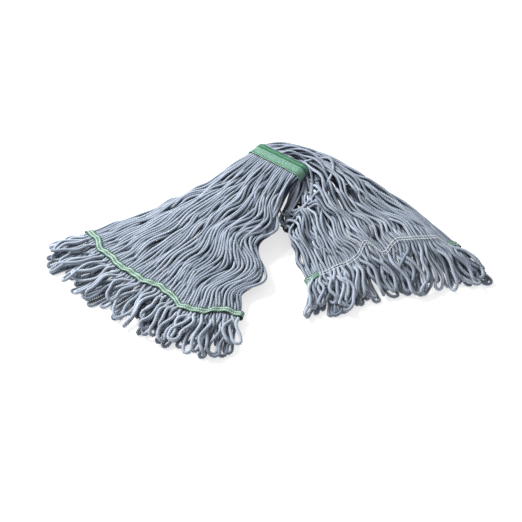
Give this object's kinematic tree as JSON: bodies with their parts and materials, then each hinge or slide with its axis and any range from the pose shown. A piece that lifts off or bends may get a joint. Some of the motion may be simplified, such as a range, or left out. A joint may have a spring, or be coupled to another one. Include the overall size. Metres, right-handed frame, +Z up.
{
  "type": "string mop",
  "caption": "Looped-end string mop head: a narrow mesh headband round a waist of plied yarn, two spread fans, a tail tape sewn across each and a fringe of loops.",
  "frame": {"origin": "on the floor, under the middle of the whole mop's bounding box", "axes": "+Z up from the floor; +X along the mop's longest side, from the left fan's tips to the right fan's"},
  "size_m": [0.7496, 0.4868, 0.0893],
  "materials": {
    "yarn": "plied yarn, matt",
    "green_mesh_tape": "woven mesh tape, satin",
    "green_thread": "sewing thread",
    "tail_tape": "woven tape, matt",
    "white_thread": "sewing thread"
  },
  "bodies": {
    "headband": {"headband_sleeve": "green_mesh_tape", "headband_stitch_over_1": "green_thread", "headband_stitch_over_2": "green_thread", "headband_stitch_over_3": "green_thread", "headband_stitch_under_1": "green_thread", "headband_stitch_under_2": "green_thread", "headband_stitch_under_3": "green_thread", "yarn_waist_lock_1": "yarn", "yarn_waist_lock_2": "yarn", "yarn_waist_lock_3": "yarn", "yarn_waist_lock_4": "yarn", "yarn_waist_lock_5": "yarn", "yarn_waist_lock_6": "yarn", "yarn_waist_lock_7": "yarn", "yarn_waist_lock_8": "yarn"},
    "left_fan": {"left_yarn_lock_1": "yarn", "left_yarn_lock_2": "yarn", "left_yarn_lock_3": "yarn", "left_yarn_lock_4": "yarn", "left_yarn_lock_5": "yarn", "left_yarn_lock_6": "yarn", "left_yarn_lock_7": "yarn", "left_yarn_lock_8": "yarn", "left_tail_tape": "tail_tape", "left_tape_stitch_1": "white_thread", "left_tape_stitch_2": "white_thread"},
    "left_fringe": {"left_loop_lock_1": "yarn", "left_loop_lock_2": "yarn", "left_loop_lock_3": "yarn", "left_loop_lock_4": "yarn", "left_loop_lock_5": "yarn", "left_loop_lock_6": "yarn", "left_loop_lock_7": "yarn", "left_loop_lock_8": "yarn"},
    "right_fan": {"right_yarn_lock_1": "yarn", "right_yarn_lock_2": "yarn", "right_yarn_lock_3": "yarn", "right_yarn_lock_4": "yarn", "right_yarn_lock_5": "yarn", "right_yarn_lock_6": "yarn", "right_yarn_lock_7": "yarn", "right_yarn_lock_8": "yarn", "right_tail_tape": "tail_tape", "right_tape_stitch_1": "white_thread", "right_tape_stitch_2": "white_thread"},
    "right_fringe": {"right_loop_lock_1": "yarn", "right_loop_lock_2": "yarn", "right_loop_lock_3": "yarn", "right_loop_lock_4": "yarn", "right_loop_lock_5": "yarn", "right_loop_lock_6": "yarn", "right_loop_lock_7": "yarn", "right_loop_lock_8": "yarn"}
  },
  "joints": [
    {"name": "left_fan_swing", "type": "hinge", "parent": "headband", "child": "left_fan", "pos_m": [0.00768, 0.16719, 0.06392], "axis": [0.7314, -0.682, 0], "range_deg": [-30, 60]},
    {"name": "right_fan_swing", "type": "hinge", "parent": "headband", "child": "right_fan", "pos_m": [0.09279, 0.15042, 0.06909], "axis": [0.766, 0.6428, 0], "range_deg": [-30, 30]},
    {"name": "left_fringe_flex", "type": "hinge", "parent": "left_fan", "child": "left_fringe", "pos_m": [-0.17404, -0.07798, 0.01042], "axis": [0.7567, -0.6538, 0], "range_deg": [-20, 20]},
    {"name": "right_fringe_flex", "type": "hinge", "parent": "right_fan", "child": "right_fringe", "pos_m": [0.20139, -0.02964, 0.01976], "axis": [0.9478, 0.3189, 0], "range_deg": [-20, 20]}
  ]
}
